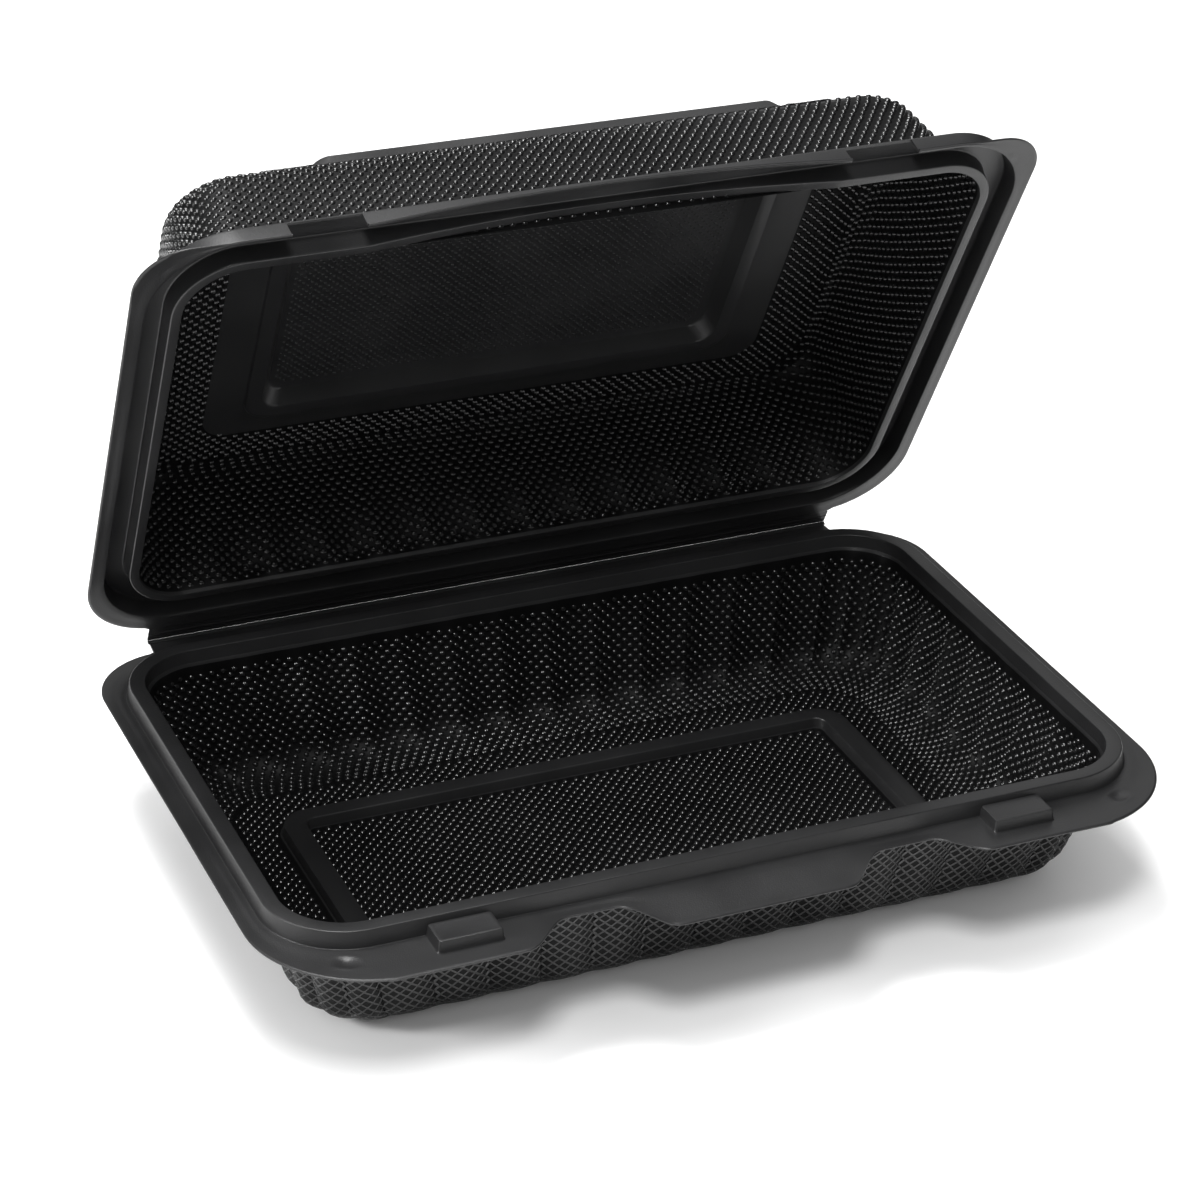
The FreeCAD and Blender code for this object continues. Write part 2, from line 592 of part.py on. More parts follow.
def build_lid():
    t = size("sheet")
    base = lid_base()
    skin, room, trench = channel_parts()
    body = skin.fuse(lid_skin(0.0, base)).fuse(pocket_shape(0.0))
    body = body.cut(room).cut(trench)
    body = body.cut(lid_skin(t, base - 1))
    frame = frame_shape(0.0)
    body = body.fuse(frame).cut(frame_shape(t).cut(pocket_shape(0.0)))
    body = body.cut(pocket_shape(t))
    tub = shape_object("LidTub", "lid_tub", body)
    flange = shape_object("LidFlange", "lid_flange", lid_plate())
    film = primitive("Part::Box", "HingeFilm", "hinge_film",
                     {"Length": "2 * Sizes.hingehalf",
                      "Width": "Sizes.hingey - Sizes.hingegap - Sizes.stripfront + Sizes.filmlap",
                      "Height": "Sizes.filmthick"},
                     ("-Sizes.hingehalf", "Sizes.stripfront - Sizes.filmlap",
                      "Sizes.flangetop + Sizes.lidgap + Sizes.filmrise"))
    beads = []
    for name, text in (("BeadFront", "Sizes.beadfirst"), ("BeadRear", "Sizes.beadsecond")):
        bead = primitive("Part::Cylinder", name, name.lower(),
                         {"Radius": "Sizes.beadradius", "Height": "2 * Sizes.hingehalf"},
                         ("-Sizes.hingehalf", "Sizes.stripfront + " + text,
                          "Sizes.flangetop + Sizes.lidgap + Sizes.filmthick"))
        bead.Placement = FreeCAD.Placement(bead.Placement.Base, FreeCAD.Rotation(V(0, 1, 0), 90))
        beads.append(bead)
    blank = fused("LidBlank", "lid_blank", [tub, flange, film] + beads)
    windows = []
    for name, sx in (("WindowRight", "1"), ("WindowLeft", "-1")):
        windows.append(primitive("Part::Box", name, name.lower(),
                                 {"Length": "Sizes.windowlength", "Width": "Sizes.windowdepth",
                                  "Height": "Sizes.windowtop - Sizes.flangetop"},
                                 (sx + " * Sizes.latchcentre - Sizes.windowlength / 2",
                                  "-Sizes.rimhalfy - Sizes.windowdepth + Sizes.wallcut", "Sizes.flangetop")))
    balls = [ball("LidDimpleRight", "Sizes.liddimplex", "-Sizes.liddimpley", "Sizes.flangetop"),
             ball("LidDimpleLeft", "-Sizes.liddimplex", "-Sizes.liddimpley", "Sizes.flangetop")]
    for item in balls:
        item.setExpression("Placement.Base.z", "Sizes.flangetop + Sizes.lidgap"
                           " + Sizes.dimpledepth - Sizes.dimpleball")
    slot, arch = lip_arch()
    front = shape_object("FrontArch", "front_arch", front_arch())
    under = shape_object("LipSlot", "lip_slot", slot)
    tools = fused("LidTools", "lid_tools", windows + balls + [front, under])
    open_lid = cut("OpenLid", "open_lid", blank, tools)
    lip = shape_object("LipArch", "lip_arch", arch)
    return fused("Lid", "lid", [open_lid, lip])


def set_open(obj):
    """Turn the closed lid up about the hinge crease."""
    spin = FreeCAD.Rotation(V(1, 0, 0), -size("openangle"))
    centre = V(0, size("hingey"), size("flangetop") + size("lidgap") / 2)
    obj.Placement = FreeCAD.Placement(V(0, 0, 0), spin, centre)


def write(obj, name):
    shape = obj.Shape
    for item in doc.Objects:
        if "Invalid" in item.State or "Error" in item.State:
            raise RuntimeError(item.Name + " failed")
    if shape.isNull() or not shape.isValid():
        raise RuntimeError(name + " isn't a sound shape")
    os.makedirs("parts", exist_ok=True)
    shape.exportStep("parts/%s.step" % name)
    print(name, "solids", len(shape.Solids), "faces", len(shape.Faces), "volume", round(shape.Volume, 1))


tray = build_tray()
lid = build_lid()
doc.recompute()
set_open(lid)
write(tray, "base_tray")
write(lid, "lid")
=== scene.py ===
import math

import bmesh
import bpy
import numpy as np
from mathutils import Matrix, Vector


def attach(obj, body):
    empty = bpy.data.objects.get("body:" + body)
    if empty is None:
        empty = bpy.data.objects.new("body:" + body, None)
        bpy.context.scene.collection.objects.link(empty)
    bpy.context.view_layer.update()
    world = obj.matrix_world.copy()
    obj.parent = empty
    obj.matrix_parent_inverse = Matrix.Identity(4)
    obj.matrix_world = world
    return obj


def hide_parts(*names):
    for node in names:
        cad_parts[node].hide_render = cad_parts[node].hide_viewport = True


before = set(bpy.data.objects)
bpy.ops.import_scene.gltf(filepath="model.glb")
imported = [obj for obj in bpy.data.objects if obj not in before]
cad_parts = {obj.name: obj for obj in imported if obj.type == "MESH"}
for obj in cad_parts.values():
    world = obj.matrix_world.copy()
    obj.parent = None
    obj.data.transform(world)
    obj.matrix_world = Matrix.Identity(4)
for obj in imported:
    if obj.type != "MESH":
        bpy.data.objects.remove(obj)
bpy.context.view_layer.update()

# Lengths are in millimetres up to the stage. Meshes are scaled to metres as they are made.
MM = 0.001
SEED = 7
# a reach that hits nothing, the least divisor, and a slope that counts as parallel
FAR, TINY, FLAT = 1e9, 1e-9, 1e-6

# sheet
SHEET, EDGE_ROUND = 0.6, 0.22
FLANGE_CROWN, WAVE_HIGH = 0.10, 0.05

# tray
RIM_X, RIM_Y, RIM_R = 111.0, 71.4, 20.0
RIM_BAND, RIM_TOP, RIM_DRAFT, RIM_RUN = 4.0, 37.4, 0.8, 0.9
FLANGE_TOP = 33.2
FLANGE_X, FLANGE_REAR, FLANGE_REAR_R = 116.8, 77.2, 20.0
LOBE_FRONT, LOBE_R, NECK_FRONT = 86.2, 30.0, 76.8
TAB_HALF, TAB_NECK, NECK_END, LOBE_INNER, TAB_DROP = 21.5, 34.0, 46.5, 59.5, 1.8
WALL_X, WALL_Y, WALL_LEAN, WALL_R, WALL_SPREAD = 97.8, 58.2, math.radians(15.4), 14.0, 0.2
FOOT_R, FLUTE_DEPTH, FLUTE_TOP = 11.0, 1.7, 33.0
FLUTE_LEFT, FLUTE_FOOT, FLUTE_FADE = 0.06, (0.4, 7.0), 5.5
LONG_FLUTES, SHORT_FLUTES, CORNER_FLUTES = 13, 7, 3
RING_X, RING_Y, RING_BAND_X, RING_BAND_Y = 79.3, 36.3, 5.8, 5.0
RING_HIGH, RING_R, RING_DRAFT = 2.8, 8.0, 0.5
PANEL_X, PANEL_Y, PANEL_R = RING_X - RING_BAND_X, RING_Y - RING_BAND_Y, RING_R - RING_BAND_Y
LATCH_X, LATCH_LENGTH, LATCH_FRONT, LATCH_BACK, LATCH_TOP = 70.8, 16.0, 80.0, 71.6, 36.0
TRAY_DIMPLE_X, TRAY_DIMPLE_Y = 99.2, 75.9
DIMPLE_R, DIMPLE_DEEP, DIMPLE_LIP, DIMPLE_LIP_HIGH = 2.6, 0.45, 0.55, 0.12

# hinge
HINGE_HALF, HINGE_Y, HINGE_GAP = 98.0, 82.7, 0.2
HINGE_Z = FLANGE_TOP + 0.15
STRIP_FRONT, HINGE_BEAD_R, WEB_R, FILM = 78.3, 0.3, 0.35, 0.3
OPEN_ANGLE = math.radians(62.0)

# lid, in its closed place
LID_GAP = 0.3
LID_LOW = FLANGE_TOP + LID_GAP
CHANNEL_ROOM, CHANNEL_GAP, CHANNEL_RUN = 1.0, 0.5, 0.7
LID_X, LID_REAR, LID_REAR_R, LID_FRONT, LID_FRONT_R = 116.2, 77.3, 22.0, 73.4, 13.0
LIP_DROP, LIP_BAND, LIP_CORNER = 5.1, 2.7, 1.6
LIP_X, LIP_Y = RIM_X - LIP_DROP - LIP_BAND, RIM_Y - LIP_DROP - LIP_BAND
LID_TOP, LID_LEAN, LID_FOLD, LID_WALL_R, LID_SPREAD = 67.6, math.radians(10.0), 3.0, 13.0, 0.2
LID_FLUTES, LID_FLUTE_END, LID_FLUTE_DEPTH = 11, 79.0, 1.8
FRAME_X, FRAME_Y, FRAME_BAND, FRAME_DROP, FRAME_R = 68.0, 37.8, 4.0, 1.0, 7.0
POCKET_HIGH, POCKET_LEAN, POCKET_FRONT, POCKET_R = 2.8, 2.6, 56.8, 4.0
POCKET_X, POCKET_REAR = FRAME_X - FRAME_BAND - POCKET_LEAN, FRAME_Y - FRAME_BAND - POCKET_LEAN
MARGIN_X, MARGIN_REAR = 78.5, 44.0
LID_MARGIN = (POCKET_FRONT + 20, MARGIN_REAR, MARGIN_X, FRAME_R)
WINDOW_LENGTH, WINDOW_TOP = 19.0, 38.0
ARCH_HALF, ARCH_RISE = 60.0, 3.0
LID_DIMPLE_X, LID_DIMPLE_Y = 106.7, 65.4

# raised beads of the sheet
BEAD_PITCH = 2.1
BEAD_LONG, BEAD_WIDE, BEAD_HIGH, BEAD_SINK = 1.00, 0.86, 0.55, 0.08
BEAD_WAIST, BEAD_WAIST_HIGH = 0.66, 0.36
BEAD_SIDES = 6
NET_HALF, NET_HIGH, NET_SINK = 0.38, 0.26, 0.1
STIPPLE_PITCH, STIPPLE_SCALE = 1.6, 0.5
FIRST_ROW, FIRST_NET_ROW, FIRST_LID_ROW = 0.35, 0.1, 0.12
BEAD_SHIFT = 0.05

# flat parts that carry beads: largest half sizes, and space kept free at a frame
FLOOR_REACH_X, FLOOR_REACH_Y = 100, 60
FRAME_SPACE, GROOVE_SPACE = 1.4, 0.8

# samples round an outline
FLUTE_STEPS = 10
CORNER_STEPS = 30
SIDE_FLUTES = (LONG_FLUTES, SHORT_FLUTES, LONG_FLUTES, SHORT_FLUTES)


def outline_fractions():
    """Side number, corner flag and share of the way for each sample round an outline."""
    rows = []
    for side, count in enumerate(SIDE_FLUTES):
        steps = count * FLUTE_STEPS
        rows += [(side, 0, k / steps) for k in range(steps)]
        rows += [(side, 1, k / CORNER_STEPS) for k in range(CORNER_STEPS)]
    return rows


FRACTIONS = outline_fractions()
SIDE = np.array([r[0] for r in FRACTIONS])
TURN = np.array([r[1] for r in FRACTIONS])
PART = np.array([r[2] for r in FRACTIONS])
COUNT = len(FRACTIONS)


def outline(front, rear, halfx, r_front, r_rear):
    """Points and outward normals of a rounded outline, one row for each sample."""
    pts = np.zeros((COUNT, 2))
    out = np.zeros((COUNT, 2))
    corner = {0: (1, -1, front, r_front), 1: (1, 1, rear, r_rear),
              2: (-1, 1, rear, r_rear), 3: (-1, -1, front, r_front)}
    for side in range(4):
        sx, sy, reach, r = corner[side]
        px, py, preach, pr = corner[(side - 1) % 4]
        c_new = np.array([sx * (halfx - r), sy * (reach - r)])
        c_old = np.array([px * (halfx - pr), py * (preach - pr)])
        start = math.radians(-90 + 90 * side)
        normal = np.array([math.cos(start), math.sin(start)])
        straight = (SIDE == side) & (TURN == 0)
        f = PART[straight][:, None]
        pts[straight] = (c_old + normal * pr) * (1 - f) + (c_new + normal * r) * f
        out[straight] = normal
        bend = (SIDE == side) & (TURN == 1)
        a = start + PART[bend] * math.pi / 2
        turned = np.stack([np.cos(a), np.sin(a)], 1)
        pts[bend] = c_new + turned * r
        out[bend] = turned
    return pts, out


def even(halfx, halfy, r):
    """Outline that is the same at the front and the rear."""
    return outline(halfy, halfy, halfx, r, r)


def ring(flat, z):
    """Closed row of points: a flat outline at one height, or at one height for each point."""
    z = np.broadcast_to(np.asarray(z, float), (COUNT,))
    return np.column_stack([flat, z])


def scallops():
    """Height of the flute round the tray wall, 0 at a cusp and 1 at a crown."""
    counts = np.array(SIDE_FLUTES)[SIDE]
    counts = np.where(TURN == 1, CORNER_FLUTES, counts)
    part = (PART * counts) % 1.0
    return 1 - (2 * part - 1) ** 2


FLUTE = scallops()


def smooth(value, low, high):
    """Share from 0 at low to 1 at high, flat at both ends."""
    part = np.clip((value - low) / (high - low), 0, 1)
    return part * part * (3 - 2 * part)


# tray sheet, its upper side
def ring_frame_rings(level):
    """Profile of the raised floor frame, from the panel out to the floor."""
    top = level + RING_HIGH
    d = RING_DRAFT
    inner = [(-d - 0.35, level), (-d, level + 0.1), (-0.12, top - 0.45), (0.0, top - 0.15),
             (0.25, top)]
    outer = [(-0.5, top), (-0.1, top - 0.12), (0.05, top - 0.5), (d, level + 0.15),
             (d + 0.4, level)]
    rings = profile_rings(inner, (PANEL_X, PANEL_Y, PANEL_R))
    return rings + profile_rings(outer, (RING_X, RING_Y, RING_R))


def wall_rings():
    """Inner side of the fluted wall, from the floor's edge up to the smooth strip."""
    foot = FOOT_R - SHEET
    run = SHEET / math.cos(WALL_LEAN) - SHEET * math.tan(WALL_LEAN)
    back = foot * math.tan(WALL_LEAN) - foot / math.cos(WALL_LEAN)
    rows = []
    for share in np.linspace(0.0, 1.0, 9):
        a = (math.pi / 2 - WALL_LEAN) * share
        rows.append((back + foot * math.sin(a), SHEET + foot - foot * math.cos(a)))
    z_last = rows[-1][1]
    for z in np.linspace(z_last, FLUTE_TOP, 15)[1:]:
        rows.append(((z - SHEET) * math.tan(WALL_LEAN), z))
    rings = []
    for off, z in rows:
        grow = off - run
        flat, out = even(WALL_X + grow, WALL_Y + grow, WALL_R + grow * WALL_SPREAD)
        share = smooth(z, *FLUTE_FOOT) * (1 - smooth(z, FLUTE_TOP - FLUTE_FADE, FLUTE_TOP))
        deep = FLUTE_DEPTH * (FLUTE_LEFT + (1 - FLUTE_LEFT) * share)
        rings.append(ring(flat + out * (FLUTE * deep)[:, None], z))
    return rings


def profile_rings(steps, base):
    """Rings from (offset, z) pairs round one rounded outline."""
    hx, hy, r = base
    rings = []
    for off, z in steps:
        flat, _ = even(hx + off, hy + off, r + off)
        rings.append(ring(flat, z))
    return rings


def round_corner(a, b, c, radius, count):
    """Points of a small round that replaces the corner b of the path a, b, c."""
    a, b, c = np.array(a, float), np.array(b, float), np.array(c, float)
    u = (a - b) / np.linalg.norm(a - b)
    w = (c - b) / np.linalg.norm(c - b)
    half = math.acos(np.clip(u @ w, -1, 1)) / 2
    reach = radius / math.tan(half)
    p, q = b + u * reach, b + w * reach
    pts = []
    for k in np.linspace(0, 1, count):
        pts.append((1 - k) ** 2 * p + 2 * k * (1 - k) * b + k ** 2 * q)
    return pts


def soft_path(points, radii):
    """Path with rounded corners through (offset, z) points."""
    path = [np.array(points[0], float)]
    for k in range(1, len(points) - 1):
        path += round_corner(points[k - 1], points[k], points[k + 1], radii[k - 1], 5)
    path.append(np.array(points[-1], float))
    return path


def tray_rim_path():
    """Strip, rim and foot of the rim, as offsets from the rim's outer edge."""
    strip = (-RIM_BAND - 0.62, FLUTE_TOP + 0.35)
    foot_in = (-RIM_BAND - 0.3, FLUTE_TOP + 0.9)
    top_in = (-RIM_BAND, RIM_TOP)
    top_out = (0.0, RIM_TOP)
    foot_out = (RIM_DRAFT, FLANGE_TOP)
    last = (RIM_DRAFT + RIM_RUN, FLANGE_TOP)
    return soft_path([strip, foot_in, top_in, top_out, foot_out, last], [0.25, 0.32, 0.38, 0.3])


def s_shape(x, x0, x1, y0, y1):
    """Height of an even S from (x0, y0) to (x1, y1), flat at both ends."""
    return y0 + (y1 - y0) * smooth(x, x0, x1)


def tray_front(x):
    """Front edge of the tray flange."""
    x = np.abs(x)
    tab = s_shape(x, TAB_HALF, TAB_NECK, LOBE_FRONT, NECK_FRONT)
    lobe = s_shape(x, NECK_END, LOBE_INNER, NECK_FRONT, LOBE_FRONT)
    return np.where(x < (TAB_NECK + NECK_END) / 2, tab, lobe)


def corner_reach(start, out, r, halfx, reach):
    """Distance from points along their normals to a rounded corner's outline."""
    best = np.full(len(start), FAR)
    with np.errstate(divide="ignore", invalid="ignore"):
        tx = (halfx - np.abs(start[:, 0])) / np.abs(out[:, 0])
        ty = (reach - np.abs(start[:, 1])) / np.abs(out[:, 1])
    best = np.fmin(best, np.where(np.abs(out[:, 0]) > FLAT, tx, FAR))
    best = np.fmin(best, np.where(np.abs(out[:, 1]) > FLAT, ty, FAR))
    rel = np.abs(start) - np.array([halfx - r, reach - r])
    o = np.abs(out)
    b = (rel * o).sum(1)
    c = (rel * rel).sum(1) - r * r
    disc = b * b - c
    t = -b + np.sqrt(np.maximum(disc, 0))
    hit = rel + o * t[:, None]
    inside = (disc > 0) & (hit[:, 0] > 0) & (hit[:, 1] > 0)
    return np.where(inside, np.minimum(t, best), best)


def strip_reach(flat, out, reach, rear):
    """Reach of the rays where the straight strip at the hinge carries on past the flange."""
    with np.errstate(divide="ignore", invalid="ignore"):
        t_y = np.where(out[:, 1] > FLAT, (rear - flat[:, 1]) / out[:, 1], 0.0)
        sideways = (HINGE_HALF - np.abs(flat[:, 0])) / np.abs(out[:, 0])
        t_x = np.where(np.abs(out[:, 0]) > FLAT, sideways, FAR)
    t = np.minimum(t_y, t_x)
    use = (out[:, 1] > 0.5) & (np.abs(flat[:, 0]) < HINGE_HALF) & (t > reach)
    return np.where(use, t, reach)


def tray_edge(flat, out):
    """Outer edge of the tray flange for points on the foot of the rim."""
    front = flat[:, 1] < 0
    t_front = corner_reach(flat, out, LOBE_R, FLANGE_X, LOBE_FRONT)
    t_rear = corner_reach(flat, out, FLANGE_REAR_R, FLANGE_X, FLANGE_REAR)
    t_rear = strip_reach(flat, out, t_rear, HINGE_Y - HINGE_GAP)
    edge = flat + out * (np.where(front, t_front, t_rear) - EDGE_ROUND)[:, None]
    facing = out[:, 1] < -0.999
    edge[facing, 1] = -tray_front(edge[facing, 0]) + EDGE_ROUND
    return edge


def waves(xy, size, phase):
    """Slight unevenness of thin formed sheet."""
    x, y = xy[:, 0] / size, xy[:, 1] / size
    short = np.sin(x * 2.1 + phase) * np.cos(y * 1.7 + phase * 1.3)
    return WAVE_HIGH * (short + 0.6 * np.sin(x * 0.9 - y * 1.3 + phase))


def dimple(xy, cx, cy):
    """Height of a round dent and the low lip round it, at both sides of the middle."""
    gap = np.hypot(np.abs(xy[:, 0]) - cx, xy[:, 1] + cy)
    rise = smooth(gap, DIMPLE_R * 0.35, DIMPLE_R)
    lip = np.exp(-((gap - DIMPLE_R) / DIMPLE_LIP) ** 2)
    return DIMPLE_LIP_HIGH * lip - DIMPLE_DEEP * (1 - rise)


def tray_flange_rings():
    """Flange from the foot of the rim out to its edge, with the drooping tab."""
    off = RIM_DRAFT + RIM_RUN
    flat, out = even(RIM_X + off, RIM_Y + off, RIM_R + off)
    edge = tray_edge(flat, out)
    rings = []
    for share in np.linspace(0, 1, 19)[1:]:
        xy = flat + (edge - flat) * share
        droop = TAB_DROP * smooth(-xy[:, 1], NECK_FRONT - 2.5, LOBE_FRONT + 3.0) * 1.25
        droop *= 1 - smooth(np.abs(xy[:, 0]), TAB_HALF, NECK_END)
        fade = smooth(np.full(COUNT, share), 0.05, 0.5)
        z = FLANGE_TOP - droop - FLANGE_CROWN * fade + fade * waves(xy, 21.0, 0.4)
        rings.append(ring(xy, z + dimple(xy, TRAY_DIMPLE_X, TRAY_DIMPLE_Y)))
    return rings


def tray_rings():
    """Rings of the whole tray from its middle out, and where its wall starts and ends."""
    rings = [ring(even(6 + k * 12, 2 + k * 5.2, 1.0 + 0.2 * k)[0], SHEET) for k in range(6)]
    rings += ring_frame_rings(SHEET)
    first = len(rings)
    rings += wall_rings()
    last = len(rings)
    rings += profile_rings(tray_rim_path(), (RIM_X, RIM_Y, RIM_R))
    rings += tray_flange_rings()
    return np.array(rings), first, last


# lid sheet, its inner side, closed
def lid_front_arch(flat, out):
    """Rise of the arch over the pull tab, 0 away from the front side."""
    facing = (out[:, 1] < -0.9) & (np.abs(flat[:, 0]) < ARCH_HALF)
    return np.where(facing, ARCH_RISE * np.clip(1 - (flat[:, 0] / ARCH_HALF) ** 2, 0, 1), 0.0)


def lid_flute(z, flat):
    """Depth of the flutes on the lid's rear wall, deepest near the lip."""
    pitch = 2 * LID_FLUTE_END / LID_FLUTES
    part = ((flat[:, 0] + LID_FLUTE_END) / pitch) % 1.0
    bulge = 1 - (2 * part - 1) ** 2
    on = (np.abs(flat[:, 0]) < LID_FLUTE_END) & (flat[:, 1] > 0)
    share = smooth(z, LID_LOW + 0.8, LID_LOW + 4.5)
    share = share * (1 - 0.75 * smooth(z, LID_LOW + 9, LID_TOP - 8))
    share = share * (1 - smooth(z, LID_TOP - 9, LID_TOP - 3.5))
    return np.where(on, bulge, 0.0) * LID_FLUTE_DEPTH * share


def lid_pocket_rings():
    """Raised centre of the lid and the low frame round it, seen from inside."""
    under = LID_TOP - SHEET
    hx, rear = FRAME_X - FRAME_BAND, FRAME_Y - FRAME_BAND
    r = FRAME_R - 2.0
    deep = under + POCKET_HIGH
    low = under - FRAME_DROP
    rings = []
    for k in range(5):
        flat, _ = outline(4 + k * 9.6, 3 + k * 5.4, 6 + k * 10.6, 1.2, 1.2)
        rings.append(ring(flat, deep))
    lean = POCKET_LEAN
    steps = [(-lean - 0.5, deep), (-lean, deep - 0.12), (-lean + 0.25, deep - 0.5),
             (-0.3, low + 0.35), (-0.05, low + 0.06), (0.35, low)]
    for off, z in steps:
        flat, _ = outline(POCKET_FRONT + min(0, off) * 0.25, rear + off, hx + off, r, r)
        rings.append(ring(flat, z))
    steps = [(-0.4, low), (-0.05, low + 0.08), (0.15, low + 0.35), (0.35, under - 0.2),
             (0.8, under)]
    for off, z in steps:
        front = POCKET_FRONT + 0.3 + max(off, 0) * 0.2
        flat, _ = outline(front, FRAME_Y + off, FRAME_X + off, FRAME_R, FRAME_R)
        rings.append(ring(flat, z))
    return rings


def lid_wall_rings():
    """Inner side of the lid's wall, from its top edge down to the lip."""
    under = LID_TOP - SHEET
    full = (under - LID_LOW) * math.tan(LID_LEAN)
    rows = [(full + 5.0, under), (full + LID_FOLD, under - 0.02),
            (full + 0.9, under - 0.5), (full + 0.2, under - 1.8)]
    for z in np.linspace(under - 3.6, LID_LOW + 1.0, 17):
        rows.append(((z - LID_LOW) * math.tan(LID_LEAN), z))
    rings = []
    for off, z in rows:
        flat, out = even(LIP_X - off, LIP_Y - off, LID_WALL_R + off * LID_SPREAD)
        flat = flat + out * lid_flute(z, flat)[:, None]
        rings.append(ring(flat, z))
    return rings


def lid_channel_rings():
    """Lip, channel and foot of the channel."""
    roof, low = RIM_TOP + CHANNEL_ROOM, LID_LOW
    lip_out, lip_in = -LIP_DROP, -LIP_DROP - LIP_BAND
    wall = CHANNEL_GAP
    foot = wall + RIM_DRAFT
    points = [(lip_in + 0.05, low + 0.5), (lip_in + 0.15, low), (lip_out, low),
              (lip_out + 0.25, roof), (wall, roof), (foot, low), (foot + CHANNEL_RUN, low)]
    path = soft_path(points, [0.2, 0.45, 0.5, 0.5, 0.3])
    rings = []
    for off, z in path:
        extra = LIP_CORNER * np.clip((wall - off) / (wall - lip_out), 0, 1)
        flat, out = even(RIM_X + off, RIM_Y + off, RIM_R + off + extra)
        near = np.clip(1 - (z - low) / 3.2, 0, 1)
        rings.append(ring(flat, z + near * lid_front_arch(flat, out)))
    return rings


def lid_edge(flat, out):
    """Outer edge of the lid flange for points on the foot of the channel."""
    t_front = corner_reach(flat, out, LID_FRONT_R, LID_X, LID_FRONT)
    t_rear = corner_reach(flat, out, LID_REAR_R, LID_X, LID_REAR)
    t_rear = strip_reach(flat, out, t_rear, STRIP_FRONT)
    t = np.where(flat[:, 1] < 0, t_front, t_rear)
    return flat + out * np.maximum(t - EDGE_ROUND, 0.12)[:, None]


def lid_flange_rings():
    """Flange from the foot of the channel out to its edge, arched over the pull tab."""
    off = CHANNEL_GAP + RIM_DRAFT + CHANNEL_RUN
    flat, out = even(RIM_X + off, RIM_Y + off, RIM_R + off)
    edge = lid_edge(flat, out)
    rings = []
    for share in np.linspace(0, 1, 9)[1:]:
        xy = flat + (edge - flat) * share
        arch = np.where(np.abs(flat[:, 0]) < ARCH_HALF, lid_front_arch(xy, out), 0.0)
        fade = smooth(np.full(COUNT, share), 0.05, 0.6)
        z = LID_LOW + FLANGE_CROWN * fade + fade * waves(xy, 24.0, 2.2) + arch
        rings.append(ring(xy, z + dimple(xy, LID_DIMPLE_X, LID_DIMPLE_Y) * 0.9))
    return rings


def lid_rings():
    """Rings of the whole lid from its middle out, and where its wall starts and ends."""
    rings = lid_pocket_rings()
    flat, _ = outline(POCKET_FRONT + 0.6, MARGIN_REAR, MARGIN_X, FRAME_R, FRAME_R)
    rings.append(ring(flat, LID_TOP - SHEET))
    first = len(rings)
    rings += lid_wall_rings()
    last = len(rings)
    rings += lid_channel_rings()
    rings += lid_flange_rings()
    return np.array(rings), first, last


# meshes
def grid_normals(grid):
    """Unit normals of a grid of rings, pointing down where the rings lie flat."""
    along = np.roll(grid, -1, 1) - np.roll(grid, 1, 1)
    across = np.gradient(grid, axis=0)
    normal = np.cross(along, across)
    size = np.linalg.norm(normal, axis=2, keepdims=True)
    return normal / np.maximum(size, TINY)


def kept_cells(keep):
    """Row, column and the four corners of every cell of the grid that is kept."""
    for j, i in zip(*np.nonzero(keep)):
        n = (i + 1) % COUNT
        yield j, i, (j * COUNT + i, j * COUNT + n, (j + 1) * COUNT + n, (j + 1) * COUNT + i)


def sheet_mesh(grid, side, keep):
    """Closed thin sheet: the kept cells and their copy one sheet away, joined at the borders."""
    rows, count = len(grid), COUNT
    normal = grid_normals(grid)
    other = grid + normal * side * SHEET
    verts = np.concatenate([grid.reshape(-1, 3), other.reshape(-1, 3)])
    faces = []
    shift = rows * count
    for _, _, (a, b, c, d) in kept_cells(keep):
        faces.append((a, b, c, d))
        faces.append((d + shift, c + shift, b + shift, a + shift))
    faces.append(tuple(range(count))[::-1])
    faces.append(tuple(shift + i for i in range(count)))
    out = grid[-1] - grid[-2]
    out /= np.maximum(np.linalg.norm(out, axis=1, keepdims=True), TINY)
    down = normal[-1] * side
    edge = [grid[-1] + out * EDGE_ROUND + down * SHEET * share for share in (0.3, 0.7)]
    verts = np.concatenate([verts] + edge)
    rows_at = [(rows - 1) * count, 2 * shift, 2 * shift + count, shift + (rows - 1) * count]
    for low, high in zip(rows_at, rows_at[1:]):
        for i in range(count):
            if keep[rows - 2, i]:
                n = (i + 1) % count
                faces.append((low + i, low + n, high + n, high + i))
    return verts, faces + hole_faces(keep, shift)


def hole_faces(keep, shift):
    """Side faces between the two skins along the borders of the holes."""
    faces = []
    last = len(keep) - 1
    for j, i, (a, b, c, d) in kept_cells(keep):
        if j < last and not keep[j + 1, i]:
            faces.append((d, c, c + shift, d + shift))
        if j > 0 and not keep[j - 1, i]:
            faces.append((b, a, a + shift, b + shift))
        if not keep[j, (i + 1) % COUNT]:
            faces.append((c, b, b + shift, c + shift))
        if not keep[j, (i - 1) % COUNT]:
            faces.append((a, d, d + shift, a + shift))
    return faces


def face_middles(verts, faces):
    """Middle of each face, from its first and third corner."""
    pick = np.array([(f[0], f[2]) for f in faces])
    return (verts[pick[:, 0]] + verts[pick[:, 1]]) / 2


def opened(points):
    """Turn closed lid points (n, 3) in mm about the hinge to where the lid stands."""
    pts = np.array(points, float)
    y, z = pts[:, 1] - HINGE_Y, pts[:, 2] - HINGE_Z
    c, s = math.cos(OPEN_ANGLE), math.sin(OPEN_ANGLE)
    pts[:, 1] = HINGE_Y + y * c + z * s
    pts[:, 2] = HINGE_Z - y * s + z * c
    return pts


def linked(name, data):
    obj = bpy.data.objects.new(name, data)
    bpy.context.scene.collection.objects.link(obj)
    return obj


